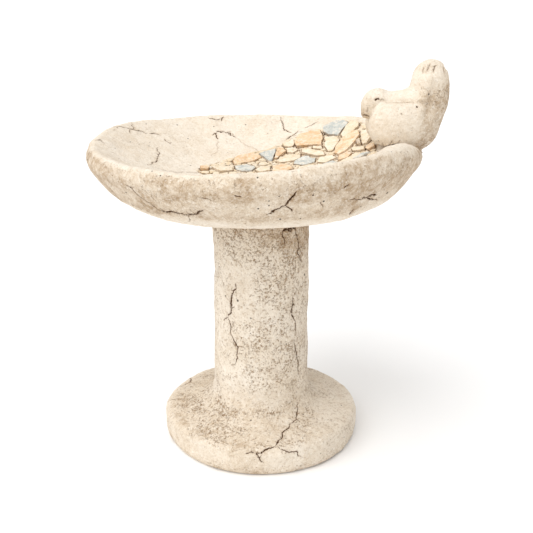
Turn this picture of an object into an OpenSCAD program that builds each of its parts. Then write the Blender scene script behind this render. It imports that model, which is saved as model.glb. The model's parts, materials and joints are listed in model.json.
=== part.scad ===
// Bird bath in cast stone: a pedestal, a dish that lifts off its dowel, a
// small bird on the rim and a patch of crazy paving bedded inside the dish.
// Millimetres. +Z is up, the foot stands on z = 0, and the column is on the Z axis.

/* [Pedestal] */
// Radius of the foot
foot_r = 104; // [100:1:108]
// Height of the foot's rounded side
foot_h = 33; // [31:1:36]
// Radius of the rounded lower edge of the foot
foot_toe_r = 8; // [6:1:12]
// Radius of the rounded upper edge of the foot
foot_lip_r = 8; // [5:1:10]
// Rise of the foot's top towards the column
foot_rise = 5; // [3:1:7]
// Radius of the fillet between foot and column
fillet_r = 25; // [20:1:28]
// Radius of the column
column_r = 50; // [48:1:52]
// Height of the column's top, which the dish sits on
seat_z = 257; // [240:1:270]

/* [Dish] */
// Distance of the dish's middle from the column's axis, along X
dish_x = -5; // [-6:1:-4]
// Height of the dish's floor above its seat
floor_h = 33; // [30:1:36]
// Height of the rim above the seat, before it rises and falls
rim_h = 71; // [69:1:74]
// Radius where the hollow meets the rim
hollow_r = 150; // [149:1:151]
// How much thicker the rim is under the bird
mound_w = 24; // [22:1:25]
// How fast the hollow steepens towards the rim
hollow_power = 2.3; // [2:0.1:2.6]

/* [Dowel and pin] */
// Radius of the steel dowel between pedestal and dish
dowel_r = 6; // [5:0.5:8]
// How far the dowel goes into the pedestal, and into the dish
dowel_depth = 26; // [18:1:26]
// Radius of the pin under the bird
pin_r = 2.5; // [2:0.5:3]
// How far the pin goes into the dish, and into the bird
pin_depth = 14; // [10:1:14]
// Radial clearance of the dowel and the pin in their holes
hole_gap = 0.05; // [0.03:0.01:0.08]

/* [Bird] */
// Height of the bird's seat
perch_z = 322.5; // [322:0.5:323]
// Distance of the middle of the bird's seat from the column's axis
perch_x = 139; // [138:1:140]
// Slope of the bird's seat, down and outwards
perch_tilt = 14; // [13:1:15]
// Radius of the flat let into the rim for the bird
perch_r = 26; // [25:1:27]

/* [Paving] */
// Thickness of the mortar bed
bed_t = 3; // [2.5:0.5:3.5]
// Thickness of a paving chip
chip_t = 4; // [3.5:0.5:5]
// How far a chip goes into the mortar
chip_sink = 1.8; // [1.5:0.1:2]
// Least mortar between a chip and the dish
chip_clear = 0.5; // [0.4:0.1:0.8]
// Size of a chip beside its place in the pattern, which leaves the joints
chip_fill = 0.96; // [0.9:0.01:0.97]

/* [Hidden] */
SLATE = "lightsteelblue";
OCHRE = "sandybrown";
CREAM = "blanchedalmond";
CAST = "antiquewhite";

// Chips of the paving: colour, how far the chip stands up beside the others,
// and its outline in plan
chips = [
    [SLATE, 0.6, [[72, 105], [86, 106], [94, 102], [98, 95], [92, 88], [86, 79], [77, 86], [72, 95]]],
    [CREAM, 0.2, [[101, 92], [106, 89], [108, 83], [107, 77], [99, 71], [91, 67], [89, 76], [95, 87]]],
    [OCHRE, 0.8, [[42, 101], [57, 105], [67, 103], [69, 87], [67, 70], [58, 74], [41, 78], [39, 89]]],
    [CREAM, 0.1, [[72, 80], [82, 75], [86, 64], [78, 45], [73, 47], [71, 62]]],
    [OCHRE, 0.7, [
        [100, 69], [106, 66], [107, 55], [100, 41], [92, 30], [83, 26], [80, 33], [82, 46], [91, 63]
    ]],
    [SLATE, 0.4, [[-2, 71], [16, 81], [16, 73], [12, 48], [9, 48]]],
    [OCHRE, 0.9, [[19, 82], [24, 84], [27, 72], [18, 55], [15, 55]]],
    [OCHRE, 0.2, [[-30, 49], [-25, 61], [-11, 71], [-4, 69], [0, 59], [-13, 45], [-28, 37]]],
    [SLATE, 0.1, [[-25, 16], [-27, 29], [-15, 35], [-6, 25], [-10, 14], [-18, 10]]],
    [CREAM, 0.3, [[-51, 17], [-41, 25], [-31, 21], [-30, 11], [-41, 5]]],
    [CREAM, 0.6, [[21, 51], [31, 59], [42, 57], [43, 48], [36, 41], [23, 39], [17, 43]]],
    [CREAM, 0.9, [[30, 76], [37, 77], [41, 71], [35, 65], [30, 67]]],
    [SLATE, 0.2, [[44, 46], [50, 46], [58, 35], [56, 23], [44, 21], [36, 30], [38, 37]]],
    [CREAM, 0.8, [[46, 69], [55, 61], [67, 47], [68, 38], [62, 39], [52, 51], [45, 58]]],
    [CREAM, 0.4, [[58, 70], [66, 66], [67, 58], [58, 64]]],
    [CREAM, 0.3, [[0, 45], [6, 43], [9, 36], [3, 32], [-2, 35]]],
    [CREAM, 0.5, [[110, 61], [115, 56], [117, 37], [112, 25], [108, 28], [108, 47]]],
    [CREAM, 0.9, [[103, 42], [106, 42], [106, 29], [101, 32]]],
    [OCHRE, 0.0, [[110, 13], [114, 20], [117, 15], [117, 6], [111, 4]]],
    [CREAM, 0.2, [[97, 28], [100, 27], [107, 18], [107, 9], [98, 19]]],
    [CREAM, 0.5, [[25, 91], [36, 99], [37, 89], [35, 82], [27, 85]]],
    [OCHRE, 0.1, [[-62, 15], [-57, 20], [-54, 16], [-55, 8], [-61, 7]]],
    [CREAM, 0.4, [[64, 32], [76, 29], [78, 17], [68, 11], [61, 19]]],
    [OCHRE, 0.6, [[83, 21], [91, 24], [95, 14], [90, 3], [81, 7]]],
    [OCHRE, 0.2, [[30, 26], [33, 14], [24, 4], [13, 10], [14, 24], [22, 33]]],
    [CREAM, 0.5, [[0, 27], [9, 25], [9, 12], [-1, 8], [-5, 14]]],
    [CREAM, 0.3, [[41, 15], [55, 17], [59, 4], [50, -6], [38, 0]]],
    [SLATE, 0.5, [[64, 7], [75, 9], [78, -4], [68, -10], [62, -4]]],
    [CREAM, 0.1, [[84, -1], [98, 4], [104, -10], [92, -18], [82, -10]]],
    [CREAM, 0.6, [[26, 0], [34, -4], [32, -16], [20, -14], [16, -4]]],
    [OCHRE, 0.3, [[52, -11], [63, -14], [60, -27], [48, -24]]],
    [CREAM, 0.5, [[75, -14], [84, -18], [81, -30], [70, -27]]],
    [SLATE, 0.2, [[93, -24], [104, -18], [108, -32], [98, -39]]]
];

// Outline of the mortar bed in plan, and the point it spreads from
bed_middle = [45, 38];
bed_outline = [
    [-68, 12], [-56, 28], [-36, 60], [-8, 80], [16, 92], [34, 107], [62, 111], [86, 111],
    [99, 103], [111, 86], [119, 60], [121, 36], [120, 10], [112, -10], [114, -36], [102, -47],
    [84, -38], [66, -34], [44, -32], [24, -24], [6, -10], [-10, 0], [-34, -4], [-58, 0]
];
bed_rings = 5;
bed_clear = 0.45;
bed_edge_t = 0.7;
// How sharply the bed thins at its edge
bed_edge_power = 8;

// The fillet is taller than it is wide, and the column narrows above it
fillet_stretch = 1.15;
column_flare = 1.5;
column_edge = 2;
taper_drop = 60;

// Rises and falls of the rim: direction, spread and height of each
rim_swells = [[-62, 28, 8], [-32, 20, 9], [38, 18, 6], [155, 24, 4.5], [0, 14, -6], [-110, 14, -1]];
mound_spread = 30;
// Drop from the rim's crest to the edge of the hollow
edge_drop = 3;
floor_z = seat_z + floor_h;

// Half section from the rim to the underside, as radius beyond or within the
// hollow's edge, height above the seat, how much of the rim's swell reaches
// there, and how much of the mound
rim_section = [
    [3, 69, 1, 1],
    [8, 72, 1, 0.8],
    [13, 71.5, 1, 0.4],
    [18, 65, 0.9, 0.1],
    [17.5, 56, 0.6, 0.12],
    [9, 44, 0.3, 0.12],
    [-2, 29.5, 0.1, 0.12],
    [-15, 20.5, 0, 0.1],
    [-46, 10.5, 0, 0.08],
    [-66, 4.5, 0, 0],
    [-92, 0, 0, 0]
];
hollow_rings = 10;
dish_sides = 48;
ease_passes = 2;

// The bird's outlines from the side: the points on the top and on the
// underside of each section, how far it is from the middle, and its half width
body_sections = [
    [[104, 363], [104, 344], 0, 6],
    [[108, 374], [107, 335], 0, 14],
    [[116, 379], [112, 329], 0, 20],
    [[125, 377.5], [122, 322], 0, 24],
    [[133, 376], [135, 314], 0, 26],
    [[142, 377.5], [150, 309], 0, 26],
    [[146.5, 382], [163, 315], 0, 24],
    [[149, 388], [176.5, 334], 0, 21],
    [[151, 394], [183.5, 359], 0, 17],
    [[153, 401], [183.5, 381], 0, 13.5],
    [[158, 406], [179, 397], 0, 10]
];
head_sections = [
    [[123, 378], [104, 376.5], 0, 9],
    [[122, 366], [100.5, 369], 0, 12],
    [[113, 361], [100, 362], 0, 8],
    [[107, 357], [101, 357], 0, 4]
];
wing_sections = [
    [[108, 357], [109, 339], 12, 9],
    [[118, 362], [119, 332], 14, 13],
    [[134, 363], [136, 331], 14.5, 14],
    [[150, 363], [150, 334], 13, 13],
    [[161, 369], [163, 346], 10, 10]
];
bird_sides = 20;
far = 200;
bore_z = 0.5;
slope_step = 1;

function swell(a, s) = s[2] * exp(-pow(turn_between(a, s[0]) / s[1], 2));
function turn_between(a, b) = (a - b + 540) % 360 - 180;
function total(v, i = 0) = i < len(v) ? v[i] + total(v, i + 1) : 0;
function rim_lift(a) = total([for (s = rim_swells) swell(a, s)]);
function mound(a) = exp(-pow(turn_between(a, 0) / mound_spread, 2));
function hollow_edge(a) = hollow_r - mound_w * mound(a);
function edge_z(a) = seat_z + rim_h + rim_lift(a) - edge_drop;
function ease(t) = pow(t, hollow_power);
function hollow_z(a, r) = floor_z + (edge_z(a) - floor_z) * ease(r / hollow_edge(a));
function bearing(p) = atan2(p[1], p[0] - dish_x);
function reach(p) = norm([p[0] - dish_x, p[1]]);
function dish_z(p) = hollow_z(bearing(p), reach(p));
function slope_at(p) = let (a = bearing(p), r = reach(p), d = slope_step / 2)
    atan((hollow_z(a, r + d) - hollow_z(a, r - d)) / slope_step);
function total_xy(v, i = 0) = i < len(v) ? v[i] + total_xy(v, i + 1) : [0, 0];
function middle(outline) = total_xy(outline) / len(outline);
// A step in plan, as its part up the slope and its part across it
function uphill(d, a) = [d[0] * cos(a) + d[1] * sin(a), d[1] * cos(a) - d[0] * sin(a)];

// Rounds an open row of points, keeping both of its ends
function eased(p, passes) = passes == 0 ? p : eased(concat(
    [p[0]],
    [for (i = [0:len(p) - 2], t = [0.25, 0.75]) p[i] * (1 - t) + p[i + 1] * t],
    [p[len(p) - 1]]), passes - 1);

// Rounds a closed outline once
function eased_loop(p) = [for (i = [0:len(p) - 1], t = [0.25, 0.75])
    p[i] * (1 - t) + p[(i + 1) % len(p)] * t];

// Corners of a quarter circle about c, from angle a0 to a1
function arc(c, r, a0, a1, n = 8) =
    [for (i = [0:n]) c + r * [cos(a0 + (a1 - a0) * i / n), sin(a0 + (a1 - a0) * i / n)]];

// Solid through a row of rings with the same number of points, closed by a
// point at each end
module lofted(first, rings, last) {
    n = len(rings[0]);
    m = len(rings);
    points = concat([first], [for (ring = rings) each ring], [last]);
    end = len(points) - 1;
    caps = [for (j = [0:n - 1]) each [
        [0, 1 + (j + 1) % n, 1 + j],
        [end, 1 + (m - 1) * n + j, 1 + (m - 1) * n + (j + 1) % n]
    ]];
    sides = [for (i = [0:m - 2], j = [0:n - 1])
        let (a = 1 + i * n + j, b = 1 + i * n + (j + 1) % n)
        each [[a, b, b + n], [a, b + n, a + n]]];
    polyhedron(points, concat(caps, sides), convexity = 6);
}

// Ring of a bird section: an ellipse between its top and its underside
function section_ring(s, side) =
    let (top = s[0], foot = s[1], mid = (top + foot) / 2, half = (top - foot) / 2)
    [for (j = [0:bird_sides - 1])
        let (a = 360 * j / bird_sides, q = mid + half * cos(a))
        [q[0], side * s[2] + s[3] * sin(a), q[1]]];

module bird_loft(sections, nose, tip, side = 1) {
    lofted([nose[0], side * nose[1], nose[2]],
        [for (s = sections) section_ring(s, side)],
        [tip[0], side * tip[1], tip[2]]);
}

// Lays its children on the bird's sloping seat
module on_perch() {
    translate([perch_x, 0, perch_z])
        rotate([0, perch_tilt, 0]) children();
}

module pedestal() {
    shoulder_r = column_r + column_flare + fillet_r;
    fillet_h = fillet_r * fillet_stretch;
    fillet_z = foot_h + foot_rise + fillet_h;
    outline = concat(
        [[0, 0], [foot_r - foot_toe_r, 0]],
        arc([foot_r - foot_toe_r, foot_toe_r], foot_toe_r, -90, 0),
        arc([foot_r - foot_lip_r, foot_h - foot_lip_r], foot_lip_r, 0, 80),
        [for (a = [0:15:90]) [shoulder_r - fillet_r * sin(a), fillet_z - fillet_h * cos(a)]],
        [[column_r, seat_z - taper_drop], [column_r, seat_z - column_edge],
            [column_r - column_edge, seat_z], [0, seat_z]]);
    color(CAST) difference() {
        rotate_extrude($fn = 96) polygon(outline);
        translate([0, 0, seat_z - dowel_depth - bore_z])
            cylinder(r = dowel_r + hole_gap, h = far, $fn = 48);
    }
}

module centre_dowel() {
    color("silver")
        translate([0, 0, seat_z - dowel_depth])
            cylinder(r = dowel_r, h = 2 * dowel_depth, $fn = 48);
}

// Ring i of the dish, from the middle of the hollow out over the rim
function hollow_ring(i) = [for (j = [0:dish_sides - 1])
    let (a = 360 * j / dish_sides, r = hollow_edge(a) * i / hollow_rings)
    [dish_x + r * cos(a), r * sin(a), hollow_z(a, r)]];
function rim_ring(s) = [for (j = [0:dish_sides - 1])
    let (a = 360 * j / dish_sides, r = hollow_r - mound_w * mound(a) * s[3] + s[0])
    [dish_x + r * cos(a), r * sin(a), seat_z + s[1] + s[2] * rim_lift(a)]];

module basin() {
    color(CAST) difference() {
        lofted([dish_x, 0, floor_z],
            concat([for (i = [1:hollow_rings]) hollow_ring(i)],
                [for (s = eased(rim_section, ease_passes)) rim_ring(s)]),
            [dish_x, 0, seat_z]);
        translate([0, 0, seat_z - 1])
            cylinder(r = dowel_r + hole_gap, h = dowel_depth + bore_z + 1, $fn = 48);
        on_perch() cylinder(r = perch_r, h = far / 4, $fn = 64);
        on_perch() translate([0, 0, -pin_depth - bore_z])
            cylinder(r = pin_r + hole_gap, h = far / 4, $fn = 32);
    }
}

module bird() {
    color(CAST) difference() {
        union() {
            bird_loft(body_sections, [102.5, 0, 353], [170, 0, 404]);
            bird_loft(head_sections, [113, 0, 381], [103.5, 0, 352.5]);
            for (side = [-1, 1])
                bird_loft(wing_sections, [105, 11, 348], [168, 8, 372], side);
        }
        on_perch() translate([-far / 2, -far / 2, -far]) cube([far, far, far]);
        on_perch() cylinder(r = pin_r + hole_gap, h = pin_depth + bore_z, $fn = 32);
    }
}

module bird_pin() {
    color("silver") on_perch() translate([0, 0, -pin_depth])
        cylinder(r = pin_r, h = 2 * pin_depth, $fn = 32);
}

// Height of a chip's underside over the hollow, square to it, so that the
// hollow's rise under the chip's corners stays clear
function chip_rest(outline) =
    let (mid = middle(outline), a = bearing(mid), slope = slope_at(mid),
        rises = [for (p = outline)
            dish_z(p) - dish_z(mid) - tan(slope) * uphill(p - mid, a)[0]])
    max(bed_t - chip_sink, max(rises) * cos(slope) + chip_clear);

// A chip lies square to the hollow under its middle
module chip_solid(c) {
    mid = middle(c[2]);
    a = bearing(mid);
    slope = slope_at(mid);
    across = [for (p = c[2]) let (d = uphill((p - mid) * chip_fill, a)) [d[0] / cos(slope), d[1]]];
    translate([mid[0], mid[1], dish_z(mid)])
        rotate([0, 0, a]) rotate([0, -slope, 0])
            translate([0, 0, chip_rest(c[2])])
                linear_extrude(chip_t + c[1]) polygon(across);
}

module chip(i) {
    color(chips[i][0]) chip_solid(chips[i]);
}

// Ring of the bed at share k of its outline, t above the hollow
function bed_ring(k, t) = [for (p = eased_loop(bed_outline))
    let (q = bed_middle + (p - bed_middle) * k) [q[0], q[1], dish_z(q) + t]];
function bed_top(k) = bed_edge_t + (bed_t - bed_edge_t) * (1 - pow(k, bed_edge_power));

module mortar_bed() {
    steps = [1:bed_rings];
    mid_z = dish_z(bed_middle);
    color("tan") difference() {
        lofted([bed_middle[0], bed_middle[1], mid_z + bed_clear],
            concat([for (i = steps) bed_ring(i / bed_rings, bed_clear)],
                [for (i = steps) let (k = (bed_rings + 1 - i) / bed_rings) bed_ring(k, bed_top(k))]),
            [bed_middle[0], bed_middle[1], mid_z + bed_t]);
        for (c = chips) chip_solid(c);
    }
}

function two_digits(n) = n < 10 ? str("0", n) : str(n);
function chip_name(i) = str("paving_chip_", two_digits(i + 1));

pedestal();
centre_dowel();
basin();
bird();
bird_pin();
mortar_bed();
for (i = [0:len(chips) - 1])
    chip(i);
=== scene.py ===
"""Bird bath in cast stone: the looks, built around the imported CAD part.

Each visible casting is a copy of its CAD solid, remeshed, weathered and cracked here. The
bird is sculpted from a smooth field around the space its CAD solid holds. Lengths in the
lists below are millimetres in the part's frame; MM turns them into Blender's metres.
"""
import json
import math

import bmesh
import bpy
import numpy as np
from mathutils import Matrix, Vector
from mathutils.bvhtree import BVHTree
from mathutils.kdtree import KDTree


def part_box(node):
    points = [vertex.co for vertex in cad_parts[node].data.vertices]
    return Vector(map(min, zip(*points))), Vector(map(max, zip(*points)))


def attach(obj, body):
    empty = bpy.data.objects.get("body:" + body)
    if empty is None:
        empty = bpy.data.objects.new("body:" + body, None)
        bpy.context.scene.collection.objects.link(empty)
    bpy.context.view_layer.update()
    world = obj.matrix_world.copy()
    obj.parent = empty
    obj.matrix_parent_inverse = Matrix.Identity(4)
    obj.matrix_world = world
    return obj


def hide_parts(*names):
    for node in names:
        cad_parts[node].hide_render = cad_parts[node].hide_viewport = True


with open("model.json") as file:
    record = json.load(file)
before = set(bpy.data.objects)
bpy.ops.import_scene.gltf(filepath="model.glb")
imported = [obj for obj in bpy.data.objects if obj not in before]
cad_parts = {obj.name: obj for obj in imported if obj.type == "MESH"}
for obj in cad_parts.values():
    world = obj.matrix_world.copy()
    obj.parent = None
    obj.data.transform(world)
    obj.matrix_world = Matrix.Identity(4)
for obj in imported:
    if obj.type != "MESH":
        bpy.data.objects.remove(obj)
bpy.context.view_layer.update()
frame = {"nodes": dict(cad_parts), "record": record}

MM = 0.001
NODES = frame["nodes"]
CHIPS = sorted(name for name in NODES if name.startswith("paving_chip_"))
SLOTS = {part["node"]: part["material_slot"] for part in frame["record"]["subparts"]}
NODE_TOPS = {name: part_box(name)[1][2] / MM for name in NODES}


# ---------------------------------------------------------------- camera

CAMERA_AT = (6, -808.5, 482.8)
CAMERA_DOWN = 19.66
CAMERA_LENS = 54.8
SENSOR = 36


def add_camera():
    data = bpy.data.cameras.new("camera")
    data.lens = CAMERA_LENS
    data.sensor_width = SENSOR
    data.clip_end = 20
    camera = bpy.data.objects.new("camera", data)
    camera.location = Vector(CAMERA_AT) * MM
    camera.rotation_euler = (math.radians(90 - CAMERA_DOWN), 0, 0)
    bpy.context.collection.objects.link(camera)
    bpy.context.scene.camera = camera


# ---------------------------------------------------------------- numbers and noise

def smooth_step(low, high, x):
    t = np.clip((x - low) / (high - low), 0, 1)
    return t * t * (3 - 2 * t)


def lattice(ix, iy, iz, seed):
    """Repeatable random value from 0 to 1 for each point of a lattice."""
    h = (ix * 374761393 + iy * 668265263 + iz * 1440670441 + seed * 1274126177) & 0xFFFFFFFF
    h = ((h ^ (h >> 13)) * 1274126177) & 0xFFFFFFFF
    return ((h ^ (h >> 16)) & 0xFFFF) / 65535.0


def noise(points, size, seed):
    """Smooth noise from -1 to 1 at points in mm, with lumps about size mm across."""
    q = points / size + 31.7 * seed
    cell = np.floor(q).astype(np.int64)
    f = q - cell
    f = f * f * (3 - 2 * f)
    total = np.zeros(len(points))
    for corner in range(8):
        d = [(corner >> axis) & 1 for axis in range(3)]
        weight = np.ones(len(points))
        for axis in range(3):
            weight *= f[:, axis] if d[axis] else 1 - f[:, axis]
        total += weight * lattice(cell[:, 0] + d[0], cell[:, 1] + d[1], cell[:, 2] + d[2], seed)
    return 2 * total - 1


def shards(points, size, seed):
    """A crazed pattern in plan: each point's way to its shard's border, and the shard's own number."""
    plan = points[:, :2] / size
    home = np.floor(plan).astype(np.int64)
    zero = np.zeros(len(points), np.int64)
    first = np.full(len(points), 9.0)
    second = first.copy()
    number = np.zeros(len(points))
    for dx in (-1, 0, 1):
        for dy in (-1, 0, 1):
            cell = home + (dx, dy)
            corner = [lattice(cell[:, 0], cell[:, 1], zero, seed + k) for k in (0, 1)]
            away = np.hypot(*(cell[:, k] + corner[k] - plan[:, k] for k in (0, 1)))
            nearer = away < first
            second = np.where(nearer, first, np.minimum(second, away))
            number = np.where(nearer, lattice(cell[:, 0], cell[:, 1], zero, seed + 2), number)
            first = np.where(nearer, away, first)
    return (second - first) * size, number


def fractal(points, size, seed, octaves=3, fade=0.5):
    """Noise with finer noise on it, each octave half the size of the one before."""
    return sum(noise(points, size / 2 ** k, seed + k) * fade ** k for k in range(octaves))


# ---------------------------------------------------------------- meshes

def points_of(obj):
    """A mesh's points in mm."""
    co = np.empty(len(obj.data.vertices) * 3)
    obj.data.vertices.foreach_get("co", co)
    return co.reshape(-1, 3) / MM


def normals_of(obj):
    no = np.empty(len(obj.data.vertices) * 3)
    obj.data.vertex_normals.foreach_get("vector", no)
    return no.reshape(-1, 3)


def set_points(obj, points):
    obj.data.vertices.foreach_set("co", (points * MM).ravel())
    obj.data.update()


def add_object(name, mesh):
    obj = bpy.data.objects.new(name, mesh)
    bpy.context.collection.objects.link(obj)
    return obj


def copy_of(node, name):
    mesh = NODES[node].data.copy()
    mesh.materials.clear()
    return add_object(name, mesh)


def with_modifiers(obj):
    """Applies an object's modifiers to its mesh."""
    evaluated = obj.evaluated_get(bpy.context.evaluated_depsgraph_get())
    mesh = bpy.data.meshes.new_from_object(evaluated)
    old = obj.data
    obj.modifiers.clear()
    obj.data = mesh
    bpy.data.meshes.remove(old)
    return obj


def remeshed(obj, voxel, smooth=2):
    """Even quads about voxel mm across, smoothed a little."""
    weld = obj.modifiers.new("weld", "WELD")
    weld.merge_threshold = 0.01 * MM
    step = obj.modifiers.new("remesh", "REMESH")
    step.mode = "VOXEL"
    step.voxel_size = voxel * MM
    if smooth:
        ease = obj.modifiers.new("smooth", "SMOOTH")
        ease.factor = 0.5
        ease.iterations = smooth
    return with_modifiers(obj)


def shade_smooth(obj):
    obj.data.polygons.foreach_set("use_smooth", [True] * len(obj.data.polygons))
    obj.data.update()


def set_mask(obj, name, values):
    """Stores a value from 0 to 1 on each point, for the materials to read."""
    layer = obj.data.attributes.get(name) or obj.data.attributes.new(name, "FLOAT", "POINT")
    layer.data.foreach_set("value", np.clip(values, 0, 1).astype(np.float32))


def near_tree(points):
    """A tree that finds the nearest of some points."""
    tree = KDTree(len(points))
    for i, point in enumerate(points):
        tree.insert(point, i)
    tree.balance()
    return tree


def surface_tree(obj):
    """A tree that finds the nearest place on a mesh."""
    mesh = obj.data
    return BVHTree.FromPolygons([v.co.copy() for v in mesh.vertices],
                                [tuple(p.vertices) for p in mesh.polygons])


# ---------------------------------------------------------------- cracks

CRACK_STEP = 0.5
# Straight stretches are broken up until none is longer than this
CRACK_STRETCH = 1.6
# How far a midpoint is thrown, beside the length of its stretch
CRACK_JAG = 0.09
# A crack's half width beside its given width, and the least
HALF_SHARE, HALF_LEAST = 0.42, 0.15
# A crack's depth beside its half width, and the most
DEPTH_SHARE, DEPTH_MOST = 1.4, 1.9
# One side crack for so many mm of a crack, on cracks wider than this
SPUR_EVERY, SPUR_OVER = 13, 0.9
SPUR_LENGTH = (2.5, 6)
SPUR_TONE = 0.7
# The raised lip beside a crack: its height and its width
LIP_HEIGHT, LIP_WIDTH = 0.16, 0.7


def crack_line(corners, rng):
    """A crack through its corners, broken up by midpoints thrown sideways."""
    line = [np.array(c, float) for c in corners]
    while max(np.linalg.norm(b - a) for a, b in zip(line, line[1:])) > CRACK_STRETCH:
        finer = [line[0]]
        for a, b in zip(line, line[1:]):
            length = np.linalg.norm(b - a)
            if length > CRACK_STRETCH:
                finer.append((a + b) / 2 + rng.normal(0, CRACK_JAG * length, 3))
            finer.append(b)
        line = finer
    out = []
    for a, b in zip(line, line[1:]):
        steps = max(1, int(np.linalg.norm(b - a) / CRACK_STEP))
        out += [a + (b - a) * k / steps for k in range(steps)]
    return np.array(out + [line[-1]])


def spurs_of(width, line, rng):
    """Short side cracks leaving a crack at a slant."""
    spurs = []
    length = np.linalg.norm(np.diff(line, axis=0), axis=1).sum()
    for _ in range(rng.poisson(length / SPUR_EVERY)):
        at = rng.integers(2, len(line) - 2) if len(line) > 6 else 1
        along = line[min(at + 2, len(line) - 1)] - line[at - 1]
        along /= np.linalg.norm(along) + 1e-9
        side = np.cross(along, rng.normal(0, 1, 3))
        way = along * rng.choice((-1, 1)) + 0.8 * side / (np.linalg.norm(side) + 1e-9)
        spurs.append((0.5 * width, [line[at], line[at] + way * rng.uniform(*SPUR_LENGTH)]))
    return spurs


def crack_samples(tree, cracks, seed, spurs=True):
    """Places the cracks on a surface: rows of x, y, z, half width and depth in mm, and darkness."""
    rng = np.random.default_rng(seed)
    rows = []
    lines = [(width, crack_line(corners, rng), tone) for width, corners, *tone in cracks]
    for width, line, _ in list(lines):
        if spurs and width > SPUR_OVER and len(line) > 12:
            lines += [(thin, crack_line(corners, rng), [SPUR_TONE])
                      for thin, corners in spurs_of(width, line, rng)]
    for width, line, tone in lines:
        along = np.linspace(0, 1, len(line))
        taper = np.minimum(1, 4.5 * np.minimum(along, 1 - along) + 0.28)
        swell = 1 + 0.45 * noise(line, 5, seed) + 0.35 * noise(line, 1.7, seed + 1)
        half = np.maximum(HALF_LEAST, HALF_SHARE * width * taper * swell)
        darkness = tone[0] if tone else 1
        for point, w in zip(line, half):
            place = tree.find_nearest(Vector(point) * MM)[0]
            rows.append((*(np.array(place) / MM), w, min(DEPTH_MOST, DEPTH_SHARE * w), darkness))
    return np.array(rows)


def refine_near(obj, samples, bands):
    """Splits the faces near the cracks, once for each band's width in mm."""
    tree = near_tree(samples[:, :3])
    for band in bands:
        bm = bmesh.new()
        bm.from_mesh(obj.data)
        near = [tree.find(v.co / MM)[2] < band for v in bm.verts]
        bm.verts.index_update()
        edges = [e for e in bm.edges if near[e.verts[0].index] or near[e.verts[1].index]]
        bmesh.ops.subdivide_edges(bm, edges=edges, cuts=1, use_grid_fill=True)
        bmesh.ops.triangulate(bm, faces=[f for f in bm.faces if len(f.verts) > 4])
        bm.to_mesh(obj.data)
        bm.free()
        obj.data.update()


def carve_cracks(obj, samples):
    """Sinks the surface along the cracks and marks how deep in one each point is."""
    tree = near_tree(samples[:, :3])
    points, normals = points_of(obj), normals_of(obj)
    found = [tree.find(p) for p in points]
    near = np.array([f[1] for f in found])
    away = np.array([f[2] for f in found])
    half, depth, darkness = samples[near, 3:].T
    inside = 1 - smooth_step(0.35 * half, 1.15 * half + 0.12, away)
    lip = np.exp(-((away - 1.6 * half - 0.5) / LIP_WIDTH) ** 2) * np.minimum(1, half) * LIP_HEIGHT
    set_points(obj, points + normals * (lip - depth * inside)[:, None])
    set_mask(obj, "crack", inside * darkness)
    set_mask(obj, "halo", np.exp(-(away / (0.7 + 1.3 * half)) ** 2))


def turned(cracks, degrees, rise=0):
    """The same cracks turned about the column's axis."""
    c, s = math.cos(math.radians(degrees)), math.sin(math.radians(degrees))
    return [(w, [(x * c - y * s, x * s + y * c, z + rise) for x, y, z in line])
            for w, line, *_ in cracks]


# Each crack has its width, the corners that it runs through and, where it is faint, its darkness.
# The corners on the dish, the column and the foot were worked out by a ray cast from the
# camera onto the CAD surface, and rounded to whole millimetres.
DISH_OUTSIDE = [
    (1.5, [(-117, -126, 313), (-111, -130, 310), (-101, -130, 299), (-90, -130, 290)]),
    (2.4, [(-90, -130, 290), (-77, -137, 289), (-62, -143, 287), (-47, -154, 296)]),
    (1.4, [(-62, -143, 287), (-62, -136, 280)]),
    (2.4, [(6, -157, 293), (13, -159, 298), (22, -160, 302), (25, -162, 307), (31, -165, 316)]),
    (1.3, [(22, -160, 302), (28, -155, 296)]),
    (1.0, [(79, -137, 301), (87, -131, 299), (94, -125, 298)]),
    (3.0, [(94, -125, 298), (100, -121, 300), (106, -115, 299)]),
    (1.6, [(96, -124, 297), (102, -114, 294), (108, -106, 291)]),
    (1.5, [(85, -125, 289), (81, -121, 282)]),
    (1.3, [(-20, -168, 314), (-14, -168, 313)]),
    (0.8, [(52, -152, 303), (55, -148, 297)]),
    (1.2, [(72, -149, 315), (76, -148, 318)]),
    (0.7, [(-94, -139, 305), (-92, -138, 302)]),
    (0.6, [(-50, -162, 310), (-44, -163, 310), (-40, -163, 308)]),
]
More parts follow.
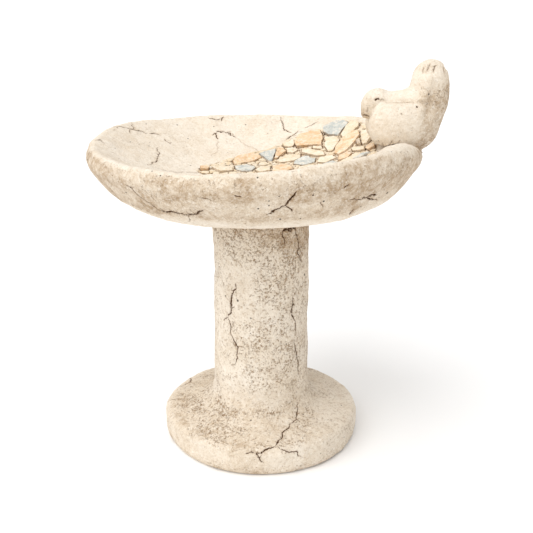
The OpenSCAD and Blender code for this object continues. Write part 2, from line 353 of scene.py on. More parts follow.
DISH_INSIDE = [
    (1.6, [(-157, 50, 331), (-151, 58, 330), (-147, 60, 329), (-142, 64, 328)]),
    (2.0, [(-142, 64, 328), (-134, 66, 325), (-124, 70, 321)]),
    (1.0, [(-142, 77, 330), (-140, 54, 325)]),
    (1.6, [(-122, 72, 320), (-111, 78, 317)]),
    (1.5, [(-106, 72, 314), (-101, 68, 311), (-99, 65, 310)]),
    (1.3, [(-164, -8, 331), (-160, 0, 330), (-154, -8, 327)]),
    (1.2, [(-112, -11, 308), (-109, 4, 306), (-107, 23, 306), (-110, 46, 310)]),
    (2.2, [(-112, -11, 308), (-108, -18, 306), (-99, -14, 303), (-89, -11, 300)]),
    (1.2, [(-89, -11, 300), (-78, -1, 297), (-70, 2, 296), (-63, 7, 294)]),
    (3.2, [(-51, 120, 315), (-43, 122, 315)]),
    (1.8, [(-43, 122, 315), (-36, 122, 313), (-29, 113, 309)]),
    (0.7, [(-29, 113, 309), (-16, 97, 303), (-2, 81, 299)], 0.35),
    (2.0, [(-51, 118, 314), (-49, 106, 309)], 0.8),
    (0.6, [(-49, 102, 308), (-54, 64, 299)], 0.25),
    (1.3, [(23, 152, 327), (25, 135, 319), (34, 120, 314)]),
    (1.5, [(29, 107, 308), (35, 114, 312), (42, 121, 316)]),
    (1.3, [(-62, 143, 327), (-54, 141, 325), (-47, 145, 326)]),
    (1.2, [(-47, 141, 324), (-45, 150, 327)]),
    (0.8, [(50, 124, 319), (65, 129, 325)]),
]
# On the sides that the front view doesn't show
DISH_ELSEWHERE = turned(DISH_OUTSIDE[:6], 152) + turned(DISH_OUTSIDE[3:10], 215, rise=-3)
DISH_ELSEWHERE += [
    (1.4, [(-70, -118, 318), (-60, -104, 309), (-52, -98, 305), (-50, -84, 300)]),
    (1.0, [(10, -146, 326), (14, -128, 317), (4, -112, 310)]),
]
COLUMN = [
    (2.0, [(-25, -44, 186), (-30, -40, 176), (-30, -40, 166), (-30, -40, 158), (-34, -38, 152)]),
    (1.0, [(-34, -38, 152), (-39, -32, 146)]),
    (1.4, [(-34, -38, 152), (-32, -39, 147), (-31, -40, 134), (-24, -45, 120), (-27, -43, 100)]),
    (2.2, [(33, -38, 174), (32, -39, 158), (37, -35, 145)]),
    (1.3, [(37, -35, 145), (37, -35, 134)]),
    (1.4, [(35, -37, 123), (39, -33, 100), (41, -31, 82)]),
    (3.2, [(22, -45, 247), (28, -41, 248), (35, -35, 247)]),
    (1.4, [(35, -35, 245), (39, -32, 229), (42, -27, 208)]),
    (1.2, [(22, -45, 246), (24, -44, 237), (24, -44, 231)]),
]
FOOT = [
    (1.2, [(39, -38, 53), (39, -46, 46), (38, -54, 41), (31, -60, 40)]),
    (1.6, [(31, -60, 40), (26, -70, 38), (22, -81, 36), (15, -93, 34)]),
    (1.9, [(15, -93, 34), (5, -98, 33), (-4, -105, 30), (1, -107, 18)]),
    (1.3, [(-16, -105, 29), (-7, -104, 31)]),
    (1.3, [(15, -93, 34), (27, -101, 31), (39, -99, 27), (45, -97, 18)]),
    (0.8, [(-105, 5, 29), (-86, -2, 36), (-69, 0, 40)]),
]
PEDESTAL_ELSEWHERE = turned(COLUMN[:3], 130, rise=14) + turned(COLUMN[3:6], 205, rise=20)
PEDESTAL_ELSEWHERE += turned(FOOT[:4], 140) + turned(FOOT[2:5], 235)


# ---------------------------------------------------------------- castings

PEDESTAL_VOXEL, BASIN_VOXEL, BIRD_VOXEL, CHIP_VOXEL = 1.6, 2.0, 1.0, 0.6
# The surface this near the axis is the dowel's hole, and stays true
HOLE_KEPT = 9
# Lumps of each casting: how big, how high and how many octaves
PEDESTAL_LUMPS = [(70, 1.0, 2), (22, 0.65, 2), (8, 0.42, 3)]
BASIN_LUMPS = [(80, 1.0, 2), (26, 0.8, 2), (9, 0.38, 3)]
BIRD_LUMPS = [(26, 0.6, 2), (9, 0.35, 3)]
# How much fuller the foot is at its sides, and how much of that is lost in front
FOOT_FULLER, FOOT_LOST = 0.028, 0.078


def weather(obj, still, lumps, seed):
    """Moves the surface in and out by noise; still is 1 where it has to stay."""
    points, normals = points_of(obj), normals_of(obj)
    move = sum(height * fractal(points, size, seed + 10 * k, octaves)
               for k, (size, height, octaves) in enumerate(lumps))
    set_points(obj, points + normals * (move * (1 - still))[:, None])


def hand_cast_foot(points):
    """The foot isn't quite round: fuller at the sides and shallower in front."""
    reach = np.hypot(points[:, 0], points[:, 1])
    front = np.clip(-points[:, 1] / np.maximum(reach, 1), 0, 1) ** 0.8
    share = smooth_step(60, 92, reach) * smooth_step(62, 42, points[:, 2])
    points = points.copy()
    points[:, :2] *= (1 + share * (FOOT_FULLER - FOOT_LOST * front))[:, None]
    return points


def make_pedestal():
    obj = remeshed(copy_of("pedestal", "pedestal_cast"), PEDESTAL_VOXEL)
    set_points(obj, hand_cast_foot(points_of(obj)))
    points = points_of(obj)
    top = NODE_TOPS["pedestal"]
    radius = np.hypot(points[:, 0], points[:, 1])
    still = 1 - smooth_step(0.4, 5, points[:, 2]) * smooth_step(0.4, 5, top - points[:, 2])
    still = np.maximum(still, radius < HOLE_KEPT)
    weather(obj, still, PEDESTAL_LUMPS, seed=3)
    samples = crack_samples(surface_tree(obj), COLUMN + FOOT + PEDESTAL_ELSEWHERE, seed=11)
    refine_near(obj, samples, (2.4, 1.7, 0.9))
    carve_cracks(obj, samples)
    points = points_of(obj)
    points[:, 2] = np.clip(points[:, 2], 0, top)
    set_points(obj, points)
    height, facing = points[:, 2], normals_of(obj)[:, 2]
    reach = np.hypot(points[:, 0], points[:, 1])
    # right grows towards the side away from the sun; it adds painted shade to the stain and pits masks
    # there
    right = smooth_step(-20, 45, points[:, 0])
    patch = 0.5 + 0.5 * fractal(points, 30, 5, 3)
    cloud = smooth_step(0.4, 0.75, 0.5 + 0.5 * fractal(points * (1, 1, 0.6), 20, 9, 3))
    shelf = smooth_step(0.1, 0.5, facing) * smooth_step(104, 92, reach) * smooth_step(110, 70, height)
    shelf *= 1 - 0.8 * smooth_step(25, 75, points[:, 0])
    trunk = smooth_step(45, 80, height)
    # Painted shade under the bowl: the column's top is darkened through the stain and pits masks, most
    # on its right
    top_shade = smooth_step(200, 252, height) * (0.45 + 0.55 * right)
    underfoot = smooth_step(16, 3, height)
    side = smooth_step(40, 25, height) * smooth_step(30, -10, points[:, 0])
    set_mask(obj, "stain_and_painted_shade", 0.08 + 0.25 * cloud + 0.22 * side + top_shade * (0.75 + 0.6 * patch)
             + 0.35 * shelf + 0.5 * underfoot * (0.4 + 0.6 * patch) + 0.28 * right * trunk)
    set_mask(obj, "pits_and_painted_shade", 0.31 + 0.26 * trunk + 0.4 * shelf + 0.8 * top_shade + 0.5 * (patch - 0.5)
             + 0.25 * underfoot + 0.22 * right * trunk)
    return obj


# The dish's middle along X, and the heights of its rim and of the brown band round it
DISH_X, RIM_Z = -5, 330
BAND_Z, BAND_WIDTH = 315, 15


def make_basin():
    obj = remeshed(copy_of("basin", "basin_cast"), BASIN_VOXEL, smooth=4)
    points = points_of(obj)
    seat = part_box("basin")[0][2] / MM
    radius = np.hypot(points[:, 0], points[:, 1])
    still = 1 - smooth_step(0.4, 4, points[:, 2] - seat)
    still = np.maximum(still, radius < HOLE_KEPT)
    weather(obj, still, BASIN_LUMPS, seed=23)
    cracks = DISH_OUTSIDE + DISH_INSIDE + DISH_ELSEWHERE
    samples = crack_samples(surface_tree(obj), cracks, seed=31)
    refine_near(obj, samples, (2.6, 1.8, 0.9))
    carve_cracks(obj, samples)
    points = points_of(obj)
    points[:, 2] = np.maximum(points[:, 2], seat)
    set_points(obj, points)
    normals = normals_of(obj)
    around = np.hypot(points[:, 0] - DISH_X, points[:, 1])
    outside = smooth_step(150, 163, around + 0.25 * (RIM_Z - points[:, 2]).clip(0, 40))
    outside *= smooth_step(0.97, 0.55, normals[:, 2])
    patch = 0.5 + 0.5 * fractal(points * (1, 1, 2.2), 34, 8, 4)
    band = np.exp(-((points[:, 2] - BAND_Z) / BAND_WIDTH) ** 2) * outside
    cloud = smooth_step(0.45, 0.75, 0.5 + 0.5 * fractal(points, 22, 15, 3))
    # Painted shade: the bowl's lower outside and its right side are darkened through the stain mask
    low = smooth_step(306, 272, points[:, 2])
    right = smooth_step(20, 140, points[:, 0])
    set_mask(obj, "stain_and_painted_shade", 0.06 + outside * (0.36 + 0.35 * cloud + 0.95 * low + 0.1 * right)
             + band * (0.3 + 0.55 * patch) + 0.25 * (1 - outside) * cloud)
    set_mask(obj, "pits_and_painted_shade", 0.16 + 0.3 * outside + 0.3 * (patch - 0.5))
    return obj


# ---------------------------------------------------------------- bird

# Rounded masses of the bird: middle, half sizes, lean about Y in degrees
BODY = [
    ((130, 0, 345), (23, 18, 23), 0),
    ((147, 0, 343), (22, 21, 26), 0),
    ((157, 0, 350), (21, 20, 29), -8),
    ((166, 0, 372), (19.5, 15, 29), 2),
    ((166, 0, 391), (16, 11.5, 16.5), 6),
    ((136, 0, 362), (22, 12.5, 15), 0),
]
HEAD = [
    ((115.5, 0, 367), (14.5, 12, 12.5), 0),
    ((107, 0, 361.5), (7.5, 7.5, 10.5), 0),
    ((103.5, 0, 355.5), (3, 2.6, 4.5), 12),
]
WING = ((131, 13.5, 345), (25, 14.5, 26), 0)
WING_BACK = ((149, 13, 348), (15, 11, 20), -14)
WING_TOP = 368
RIDGE = ((154, 19.5, 358), (159, 16, 376), (162, 11, 390))
RIDGE_R = 3.2
NOTCH, NOTCH_R = (182, 0, 401), 3.4
# The flat that the bird sits on: its middle, and its slope in degrees
SEAT, SEAT_TILT = (139, 0, 322.5), 14
COLLAR = ((139, 0, 321), (24.5, 23, 6), SEAT_TILT)
# How softly each mass runs into the next
BODY_BLEND, HEAD_BLEND, WING_BLEND, EDGE_BLEND, RIDGE_BLEND, COLLAR_BLEND = 9, 4, 2.2, 2.5, 4, 4


def ellipsoid(points, mass, side=1):
    """Roughly the distance in mm from points to an ellipsoid, negative inside."""
    (x, y, z), half, lean = mass
    q = points - np.array((x, side * y, z))
    c, s = math.cos(math.radians(lean)), math.sin(math.radians(lean))
    q = np.stack([q[:, 0] * c - q[:, 2] * s, q[:, 1], q[:, 0] * s + q[:, 2] * c], axis=1)
    k = np.linalg.norm(q / half, axis=1)
    g = np.linalg.norm(q / np.square(half), axis=1) + 1e-9
    return k * (k - 1) / g


def blended(a, b, width):
    h = np.clip(0.5 + 0.5 * (b - a) / width, 0, 1)
    return b * (1 - h) + a * h - width * h * (1 - h)


def tube(points, spine, radius, side):
    """Distance to a bent tube along a row of points."""
    best = np.full(len(points), 1e3)
    ends = [np.array((x, side * y, z), float) for x, y, z in spine]
    for a, b in zip(ends, ends[1:]):
        along = np.clip((points - a) @ (b - a) / ((b - a) @ (b - a)), 0, 1)
        best = np.minimum(best, np.linalg.norm(points - a - along[:, None] * (b - a), axis=1))
    return best - radius


def bird_field(points):
    """Roughly the distance in mm from points to the bird, negative inside."""
    field = ellipsoid(points, BODY[0])
    for mass in BODY[1:]:
        field = blended(field, ellipsoid(points, mass), BODY_BLEND)
    head = ellipsoid(points, HEAD[0])
    for mass in HEAD[1:]:
        head = blended(head, ellipsoid(points, mass), HEAD_BLEND)
    field = blended(field, head, HEAD_BLEND)
    for side in (-1, 1):
        wing = blended(ellipsoid(points, WING, side), ellipsoid(points, WING_BACK, side), 8)
        wing = -blended(-wing, WING_TOP - points[:, 2], EDGE_BLEND)
        field = blended(field, wing, WING_BLEND)
        field = blended(field, tube(points, RIDGE, RIDGE_R, side), RIDGE_BLEND)
    notch = np.linalg.norm(points[:, ::2] - np.array(NOTCH)[::2], axis=1) - NOTCH_R
    field = -blended(-field, notch, 2)
    return blended(field, ellipsoid(points, COLLAR), COLLAR_BLEND)


def onto_field(points, field, passes):
    """Moves points along the field's slope until they lie on its surface."""
    step = 0.05
    for _ in range(passes):
        here = field(points)
        slope = np.stack([(field(points + step * axis) - here) / step for axis in np.eye(3)], axis=1)
        length = np.maximum(np.linalg.norm(slope, axis=1), 0.3)
        points = points - slope * (np.clip(here, -2, 2) / length ** 2)[:, None]
    return points


BIRD_CRACKS = [
    (1.6, [(163, -9, 405), (160, -11, 397)], 0.4),
    (1.6, [(169, -9, 403), (166, -11, 396)], 0.5),
    (1.4, [(176, -7, 401), (176, -8, 395)], 0.4),
    (1.2, [(157, -9, 401), (156, -11, 396)], 0.3),
    # The dark stroke where the head meets the wing's top is painted shadow in the hollow there
    (2.4, [(111, -12, 370), (113, -12, 371), (116, -13, 371)], 0.9),
    (1.2, [(117, -13, 370), (126, -15, 369), (138, -16, 369), (148, -18, 369)], 0.28),
    (2.0, [(107, -14, 357), (107, -15, 355)], 0.8),
    (2.2, [(150, -20, 366), (152, -20, 364)], 0.8),
    (1.4, [(135, -27, 359), (136, -27, 359)], 0.8),
    (2.2, [(120, -16, 328), (126, -19, 330), (134, -21, 330), (142, -20, 327)], 0.75),
    (1.0, [(126, -19, 330), (128, -21, 335)], 0.5),
    (1.0, [(132, -21, 330), (135, -23, 334)], 0.5),
    (1.0, [(122, -17, 328), (121, -18, 333)], 0.5),
    (1.2, [(104, -9, 362), (104, -9, 356)], 0.35),
    (1.6, [(101, -2, 354), (104, -6, 353), (107, -9, 351)], 0.6),
]


def seat_plane():
    """A point on the bird's seat and the seat's normal."""
    tilt = math.radians(SEAT_TILT)
    return np.array(SEAT), np.array((math.sin(tilt), 0, math.cos(tilt)))


def bird_masses():
    """A mesh of overlapping balls, roughly the bird's shape."""
    mesh = bpy.data.meshes.new("bird_form")
    bm = bmesh.new()
    masses = [(m, 1) for m in BODY + HEAD + [COLLAR]]
    masses += [(m, side) for m in (WING, WING_BACK) for side in (-1, 1)]
    masses += [((place, (RIDGE_R,) * 3, 0), side) for place in RIDGE for side in (-1, 1)]
    for (middle, half, lean), side in masses:
        ball = bmesh.ops.create_icosphere(bm, subdivisions=4, radius=1)["verts"]
        c, s = math.cos(math.radians(lean)), math.sin(math.radians(lean))
        for v in ball:
            x, y, z = (v.co[i] * half[i] for i in range(3))
            v.co = Vector((middle[0] + x * c + z * s, side * middle[1] + y,
                           middle[2] - x * s + z * c)) * MM
    bm.to_mesh(mesh)
    bm.free()
    return mesh


def make_bird():
    obj = remeshed(add_object("bird_figure", bird_masses()), BIRD_VOXEL)
    for _ in range(3):
        set_points(obj, onto_field(points_of(obj), bird_field, 4))
        ease = obj.modifiers.new("smooth", "SMOOTH")
        ease.factor = 0.5
        ease.iterations = 2
        with_modifiers(obj)
    weather(obj, 0, BIRD_LUMPS, seed=41)
    mirrored = [(w, [(x, -y, z) for x, y, z in line], tone) for w, line, tone in BIRD_CRACKS]
    samples = crack_samples(surface_tree(obj), BIRD_CRACKS + mirrored, seed=43, spurs=False)
    refine_near(obj, samples, (2.2, 1.1))
    carve_cracks(obj, samples)
    points = points_of(obj)
    at, up = seat_plane()
    below = np.minimum(0, (points - at) @ up - 0.05)
    set_points(obj, points - below[:, None] * up)
    points = points_of(obj)
    patch = 0.5 + 0.5 * fractal(points, 16, 48, 3)
    # The flank gets brown stain, partly real and partly painted shade on the bird's side away from the
    # sun
    flank = smooth_step(148, 161, points[:, 0]) * smooth_step(394, 376, points[:, 2])
    # Painted shade: the bird is darkened low down, where it sits on the rim, through the stain and pits
    # masks
    low = smooth_step(336, 324, points[:, 2])
    beak = smooth_step(9, 4, np.linalg.norm(points - np.array((103, 0, 357)), axis=1))
    tip = smooth_step(392, 402, points[:, 2])
    ledge = smooth_step(366, 369, points[:, 2]) * smooth_step(374, 369, points[:, 2])
    ledge *= smooth_step(8, 14, np.abs(points[:, 1]))
    rump = smooth_step(174, 184, points[:, 0])
    set_mask(obj, "stain_and_painted_shade", (0.5 + 0.5 * patch) * (1.0 * flank + 0.6 * ledge) + 0.8 * low * patch
             + 0.7 * beak + 0.3 * tip + 0.05 + 0.6 * rump)
    set_mask(obj, "pits_and_painted_shade", 0.12 + 0.4 * flank + 0.3 * low)
    return obj


# ---------------------------------------------------------------- paving

# How far a chip's edge grows into the joint before it is worn back
CHIP_GROWTH = 1.3
# Depth of the flakes that have split off a chip's face
FLAKE = 0.7
# Longest edge in the mortar's mesh, and the size of the crumbs of stone in it
BED_EDGE, CRUMB = 1.1, 6.5
# Width of the strip at each end of the bed where the crumbs fade out
BED_FADE = 8


def make_chip(node, seed):
    """A chip with broken edges and a slightly uneven, split face."""
    obj = copy_of(node, node + "_stone")
    points = points_of(obj)
    middle = points.mean(axis=0)
    up = chip_normal(points, middle)
    across = (points - middle) - ((points - middle) @ up)[:, None] * up
    reach = np.maximum(np.linalg.norm(across, axis=1), 1)
    set_points(obj, points + across / reach[:, None] * CHIP_GROWTH)
    remeshed(obj, CHIP_VOXEL, smooth=1)
    points, normals = points_of(obj), normals_of(obj)
    height = (points - middle) @ up
    top = smooth_step(0, 1.2, height)
    edge = 1 - np.abs(normals @ up)
    stretch = np.array((1, 1, 0.35))
    move = edge * (0.75 * fractal(points * stretch, 5, seed, 3))
    split = fractal(points, 8, seed + 5, 2)
    step = FLAKE * smooth_step(0.22, 0.30, noise(points, 11, seed + 9))
    move += top * (0.28 * split + 0.12 * noise(points, 2, seed + 7) - step)
    set_points(obj, points + normals * move[:, None])
    set_mask(obj, "crack", smooth_step(-0.6, -1.8, height) * smooth_step(0.3, 0.9, edge))
    rim = smooth_step(0.25, 0.8, edge)
    set_mask(obj, "stain_and_painted_shade", 0.55 * rim)
    tone = lattice(np.array([seed]), np.array([3]), np.array([5]), 77)[0]
    set_mask(obj, "tone", np.full(len(points), tone))
    return obj


def chip_normal(points, middle):
    """The direction a flat chip faces: the one its points spread least along."""
    spread = np.linalg.svd(points - middle, full_matrices=False)[2]
    up = spread[2]
    return up if up[2] > 0 else -up


def make_bed(chips):
    """The mortar between the chips, with crumbs of stone in its joints."""
    obj = copy_of("mortar_bed", "mortar_joints")
    bm = bmesh.new()
    bm.from_mesh(obj.data)
    bmesh.ops.remove_doubles(bm, verts=bm.verts, dist=0.01 * MM)
    for _ in range(7):
        bm.normal_update()
        long = [e for e in bm.edges if e.calc_length() > BED_EDGE * MM
                and any(f.normal.z > 0.5 for f in e.link_faces)]
        if not long:
            break
        bmesh.ops.subdivide_edges(bm, edges=long, cuts=1)
        bmesh.ops.triangulate(bm, faces=[f for f in bm.faces if len(f.verts) > 3])
    bm.to_mesh(obj.data)
    bm.free()
    points, normals = points_of(obj), normals_of(obj)
    tree = near_tree(np.concatenate([points_of(chip) for chip in chips]))
    away = np.array([tree.find(p)[2] for p in points])
    facing = smooth_step(0.5, 0.8, normals[:, 2])
    border, number = shards(points + 1.2 * noise(points, 4, 66)[:, None], CRUMB, 67)
    stone = smooth_step(0.25, 0.7, border) * smooth_step(0.4, 1.2, away)
    start, end = (corner[0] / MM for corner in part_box("mortar_bed"))
    inner = smooth_step(0, BED_FADE, points[:, 0] - start) * smooth_step(0, BED_FADE, end - points[:, 0])
    rise = stone * inner * (0.5 + 1.3 * number) + 0.25 * fractal(points, 5, 61, 3)
    set_points(obj, points + np.array((0, 0, 1)) * (facing * rise)[:, None])
    set_mask(obj, "crack", facing * 0.9 * (1 - stone))
    set_mask(obj, "stain_and_painted_shade", 0.5 * (1 - smooth_step(0.8, 3, away)) + 0.1)
    set_mask(obj, "tone", 0.75 * number)
    return obj


# ---------------------------------------------------------------- materials

class Shader:
    """Short forms for building one material's nodes."""

    def __init__(self, name):
        self.material = bpy.data.materials.new(name)
        self.material.use_nodes = True
        self.tree = self.material.node_tree
        self.out = next(n for n in self.tree.nodes if n.type == "BSDF_PRINCIPLED")
        place = self.add("ShaderNodeTexCoord").outputs["Object"]
        scaled = self.add("ShaderNodeVectorMath", operation="SCALE")
        self.link(place, scaled.inputs[0])
        scaled.inputs["Scale"].default_value = 1 / MM
        self.place = scaled.outputs[0]

    def add(self, kind, **settings):
        node = self.tree.nodes.new(kind)
        for key, value in settings.items():
            setattr(node, key, value)
        return node

    def link(self, source, target):
        self.tree.links.new(source, target)

    def feed(self, source, target):
        """Links an output, or sets a number or colour."""
        if hasattr(source, "links"):
            self.link(source, target)
        elif hasattr(source, "__len__"):
            target.default_value = tuple(source) + (1,) * (4 - len(source))
        else:
            target.default_value = source

    def noise(self, size, detail=3, rough=0.55, place=None):
        node = self.add("ShaderNodeTexNoise")
        self.link(place or self.place, node.inputs["Vector"])
        node.inputs["Scale"].default_value = 1 / size
        node.inputs["Detail"].default_value = detail
        node.inputs["Roughness"].default_value = rough
        return node.outputs["Fac"]

    def mask(self, name):
        return self.add("ShaderNodeAttribute", attribute_name=name).outputs["Fac"]

    def ramp(self, value, low, high, to_low=0.0, to_high=1.0):
        node = self.add("ShaderNodeMapRange", interpolation_type="SMOOTHSTEP")
        self.feed(value, node.inputs["Value"])
        ends = {"From Min": low, "From Max": high, "To Min": to_low, "To Max": to_high}
        for key, number in ends.items():
            node.inputs[key].default_value = number
        return node.outputs["Result"]

    def math(self, operation, a, b=0.0):
        node = self.add("ShaderNodeMath", operation=operation)
        self.feed(a, node.inputs[0])
        self.feed(b, node.inputs[1])
        return node.outputs[0]

    def mix(self, share, a, b):
        node = self.add("ShaderNodeMix", data_type="RGBA")
        self.feed(share, node.inputs["Factor"])
        self.feed(a, node.inputs[6])
        self.feed(b, node.inputs[7])
        return node.outputs[2]

    def bump(self, height, distance, strength=1.0):
        node = self.add("ShaderNodeBump")
        node.inputs["Distance"].default_value = distance * MM
        node.inputs["Strength"].default_value = strength
        self.link(height, node.inputs["Height"])
        self.link(node.outputs["Normal"], self.out.inputs["Normal"])

    def finish(self, colour, rough, specular=0.25, metallic=0.0):
        self.link(colour, self.out.inputs["Base Color"])
        self.feed(rough, self.out.inputs["Roughness"])
        self.out.inputs["Specular IOR Level"].default_value = specular
        self.out.inputs["Metallic"].default_value = metallic
        return self.material


def linear(red, green, blue):
    """A colour given as it is seen on screen, 0 to 255, in the shader's own terms."""
    return tuple(((c / 255 + 0.055) / 1.055) ** 2.4 if c > 10 else c / 3294.6
                 for c in (red, green, blue))


CREAM = linear(241, 230, 214)
PALE = linear(246, 239, 228)
TAN = linear(216, 200, 177)
BASIN_TAN = linear(222, 205, 181)
WASH = linear(184, 159, 128)
UMBER = linear(146, 113, 78)
CRACK = linear(98, 70, 46)
PINHOLE = linear(58, 46, 34)


def pinholes(s, cell, share, largest):
    """Scattered small round holes: 1 inside one."""
    node = s.add("ShaderNodeTexVoronoi")
    s.link(s.place, node.inputs["Vector"])
    node.inputs["Scale"].default_value = 1 / cell
    split = s.add("ShaderNodeSeparateColor")
    s.link(node.outputs["Color"], split.inputs[0])
    size = s.ramp(split.outputs[0], 1 - share, 1, 0, largest / cell)
    return s.ramp(s.math("SUBTRACT", size, node.outputs["Distance"]), -0.2 / cell, 0.2 / cell)


def strokes(s, size, width, broken_by):
    """Short curved worm tracks: 1 inside one."""
    line = s.math("ABSOLUTE", s.math("SUBTRACT", s.noise(size, 2, 0.5), 0.5))
    return s.math("MULTIPLY", s.ramp(line, width, 0.2 * width), s.ramp(broken_by, 0.47, 0.57))


def cast_stone(name, cream, tan, speck=1.0, holes=0.4):
    """Cast stone with a brown wash left in its small hollows; masks on the mesh place the stains, the
    specks and the painted shade.
    """
    s = Shader(name)
    stain_and_painted_shade, pits_and_painted_shade = s.mask("stain_and_painted_shade"), s.mask("pits_and_painted_shade")
    broad, middle = s.noise(45, 4, 0.6), s.noise(11, 5, 0.65)
    small, fine, grain = s.noise(3.4, 4, 0.6), s.noise(1.5, 4, 0.65), s.noise(0.55, 2)
    cluster = s.noise(15, 3, 0.6)
    colour = s.mix(s.ramp(middle, 0.40, 0.66, 0, 0.45), cream, tan)
    colour = s.mix(s.ramp(broad, 0.38, 0.7, 0, 0.5), colour, PALE)
    colour = s.mix(s.ramp(small, 0.45, 0.7, 0, 0.35), colour, tan)
    blotch = s.noise(7, 6, 0.7)
    wash = s.math("MULTIPLY", stain_and_painted_shade, s.ramp(blotch, 0.30, 0.62, 0.4, 1.0))
    colour = s.mix(wash, colour, s.mix(s.ramp(fine, 0.35, 0.65), tan, WASH))
    deep = s.math("MULTIPLY", s.ramp(stain_and_painted_shade, 0.6, 1.0), s.ramp(blotch, 0.4, 0.65, 0.15, 0.6))
    colour = s.mix(deep, colour, UMBER)
    track = s.math("MULTIPLY", strokes(s, 5.5, 0.05, small), pits_and_painted_shade)
    colour = s.mix(s.math("MULTIPLY", track, 0.75 * speck), colour, UMBER)
    level = s.add("ShaderNodeMath", operation="MULTIPLY_ADD")
    s.feed(pits_and_painted_shade, level.inputs[0])
    s.feed(-0.17, level.inputs[1])
    s.feed(s.ramp(cluster, 0.38, 0.64, 0.76, 0.66), level.inputs[2])
    spot = s.ramp(s.math("SUBTRACT", s.noise(2.1, 3, 0.7), level.outputs[0]), -0.03, 0.07)
    colour = s.mix(s.math("MULTIPLY", spot, 0.7 * speck), colour, UMBER)
    colour = s.mix(s.ramp(grain, 0.3, 0.7, 0, 0.25), colour, tan)
    fleck = s.noise(2.6, 5, 0.8)
    colour = s.mix(s.ramp(fleck, 0.47, 0.36, 0, 0.5), colour, PALE)
    colour = s.mix(s.ramp(fleck, 0.54, 0.68, 0, 0.45 * speck), colour, WASH)
    hole = s.math("MAXIMUM", pinholes(s, 9, holes, 0.9), pinholes(s, 23, holes, 1.3))
    colour = s.mix(s.math("MULTIPLY", hole, 0.85), colour, PINHOLE)
    halo = s.math("MULTIPLY", s.mask("halo"), s.ramp(fine, 0.35, 0.65, 0.1, 0.45))
    colour = s.mix(halo, colour, UMBER)
    colour = s.mix(s.ramp(s.mask("crack"), 0.15, 0.7), colour, CRACK)
    height = s.math("ADD", small, s.math("MULTIPLY", fine, 0.5))
    height = s.math("ADD", height, s.math("MULTIPLY", grain, 0.2))
    for sunk, depth in ((spot, 0.35), (track, 0.35), (hole, 0.9)):
        height = s.math("SUBTRACT", height, s.math("MULTIPLY", sunk, depth))
    s.bump(height, 1.1, 1.0)
    return s.finish(colour, s.ramp(fine, 0.3, 0.7, 0.82, 0.97))


def chip_stone(name, light, deep):
    """Split stone in one wash, worn through to cream and specked with brown."""
    s = Shader(name)
    broad, fine, grain = s.noise(8, 5, 0.65), s.noise(1.8, 4, 0.6), s.noise(0.6, 2)
    colour = s.mix(s.ramp(broad, 0.3, 0.7), light, deep)
    colour = s.mix(s.math("MULTIPLY", s.mask("tone"), 0.5), colour, deep)
    colour = s.mix(s.ramp(s.noise(4.5, 5, 0.7), 0.47, 0.64, 0, 0.7), colour, CREAM)
    colour = s.mix(s.ramp(fine, 0.5, 0.75, 0, 0.45), colour, TAN)
    colour = s.mix(s.ramp(s.noise(2.2, 4, 0.75), 0.56, 0.7, 0, 0.6), colour, UMBER)
    colour = s.mix(s.math("MULTIPLY", s.mask("stain_and_painted_shade"), s.ramp(fine, 0.3, 0.6, 0.4, 1)), colour, UMBER)
    colour = s.mix(s.ramp(s.mask("crack"), 0.1, 0.8), colour, CRACK)
    height = s.math("ADD", s.math("MULTIPLY", fine, 0.6), s.math("MULTIPLY", grain, 0.3))
    s.bump(height, 0.45, 0.8)
    return s.finish(colour, s.ramp(fine, 0.3, 0.7, 0.7, 0.92))


def steel(name):
    """Bright bar with drawn lines along it and a little rust."""
    s = Shader(name)
    stretch = s.add("ShaderNodeVectorMath", operation="MULTIPLY")
    s.link(s.place, stretch.inputs[0])
    stretch.inputs[1].default_value = (1, 1, 0.05)
    lines = s.noise(0.4, 3, 0.6, stretch.outputs[0])
    rust = s.ramp(s.noise(5, 5, 0.7), 0.55, 0.7, 0, 0.5)
    colour = s.mix(lines, linear(158, 158, 156), linear(196, 196, 194))
    colour = s.mix(rust, colour, linear(126, 92, 66))
    s.bump(lines, 0.05, 0.5)
    return s.finish(colour, s.ramp(lines, 0.3, 0.7, 0.3, 0.5), 0.5, 1.0)


# ---------------------------------------------------------------- put together

def show(obj, material, body, node):
    """Finishes a piece that stands for a CAD node."""
    obj.data.materials.clear()
    obj.data.materials.append(material)
    shade_smooth(obj)
    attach(obj, body)
    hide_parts(node)


# Towards the sun; how wide it looks, in degrees
SUN_FROM = (-0.42, -0.40, 0.82)
SUN_SPREAD = 60
SUN_STRENGTH = 2.05
SKY_STRENGTH = 0.75
FLOOR_HALF = 40


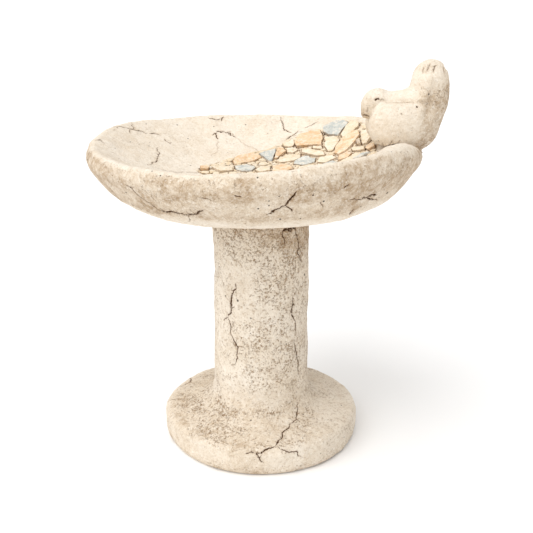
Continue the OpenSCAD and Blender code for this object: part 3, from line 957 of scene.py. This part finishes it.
def add_studio():
    mesh = bpy.data.meshes.new("floor")
    bm = bmesh.new()
    bmesh.ops.create_grid(bm, x_segments=1, y_segments=1, size=FLOOR_HALF)
    bm.to_mesh(mesh)
    bm.free()
    floor = add_object("floor", mesh)
    s = Shader("floor_paper")
    colour = s.mix(s.noise(300, 2), (0.95, 0.95, 0.95), (0.97, 0.97, 0.97))
    floor.data.materials.append(s.finish(colour, 0.9, 0.1))
    world = bpy.data.worlds.new("studio")
    world.use_nodes = True
    back = world.node_tree.nodes["Background"]
    back.inputs["Color"].default_value = (1, 1, 1, 1)
    back.inputs["Strength"].default_value = SKY_STRENGTH
    bpy.context.scene.world = world
    data = bpy.data.lights.new("key", "SUN")
    data.energy = SUN_STRENGTH
    data.angle = math.radians(SUN_SPREAD)
    data.color = (1, 0.99, 0.98)
    key = bpy.data.objects.new("key", data)
    key.rotation_euler = (-Vector(SUN_FROM)).to_track_quat("-Z", "Y").to_euler()
    bpy.context.collection.objects.link(key)
    bpy.context.scene.view_settings.view_transform = "Standard"


add_camera()
add_studio()
basin_stone = cast_stone("cast_stone_basin", CREAM, BASIN_TAN)
pedestal_stone = cast_stone("cast_stone_pedestal", CREAM, TAN, speck=1.25)
bird_stone = cast_stone("cast_stone_bird", CREAM, TAN)
show(make_basin(), basin_stone, "dish", "basin")
show(make_pedestal(), pedestal_stone, "pedestal", "pedestal")
show(make_bird(), bird_stone, "dish", "bird")

washes = {
    "chip_slate": chip_stone("chip_slate", linear(222, 222, 213), linear(178, 183, 180)),
    "chip_ochre": chip_stone("chip_ochre", linear(240, 220, 190), linear(222, 182, 138)),
    "chip_cream": chip_stone("chip_cream", linear(244, 234, 216), linear(224, 205, 174)),
}
chips = []
for number, node in enumerate(CHIPS):
    chip = make_chip(node, 100 + 13 * number)
    show(chip, washes[SLOTS[node]], "dish", node)
    chips.append(chip)
mortar = chip_stone("mortar", linear(247, 236, 216), linear(230, 206, 168))
show(make_bed(chips), mortar, "dish", "mortar_bed")

metal = steel("dowel_steel")
for node in ("centre_dowel", "bird_pin"):
    NODES[node].data.materials.clear()
    NODES[node].data.materials.append(metal)
